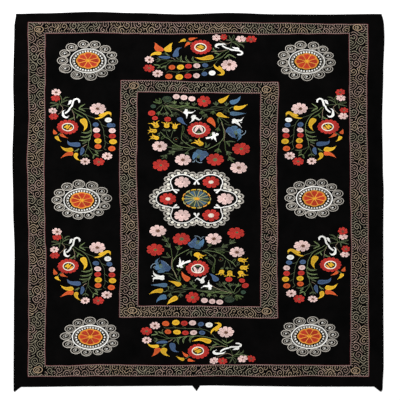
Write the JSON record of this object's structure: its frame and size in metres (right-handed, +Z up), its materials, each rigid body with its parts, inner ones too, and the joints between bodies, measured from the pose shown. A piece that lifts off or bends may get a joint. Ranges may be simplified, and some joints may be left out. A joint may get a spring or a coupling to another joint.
{
  "type": "suzani embroidered textile",
  "caption": "Black cotton cover worked in chain stitch: scroll bands round a field of rosettes, flower sprays, bouquets and a medallion, lying flat and face up.",
  "frame": {"origin": "on the surface, under the middle of the cloth's bounding box", "axes": "+Z is up, the embroidered face's outward normal; +Y points to the cloth's top edge as it is looked at; +X to its right"},
  "size_m": [1.4594, 1.4914, 0.003],
  "materials": {
    "black_cotton": "plain woven black cotton sateen, matt, with a turned hem",
    "band_thread": "tan and pale pink chain-stitched cotton thread, slightly silky",
    "white_thread": "white and grey chain-stitched cotton thread, slightly silky",
    "red_thread": "red chain-stitched cotton thread, slightly silky",
    "pink_thread": "pale pink chain-stitched cotton thread, slightly silky",
    "warm_thread": "yellow and orange chain-stitched cotton thread, slightly silky",
    "blue_thread": "blue chain-stitched cotton thread, slightly silky",
    "green_thread": "green chain-stitched cotton thread, slightly silky"
  },
  "bodies": {
    "root": {"ground_cloth": "black_cotton"}
  },
  "joints": []
}
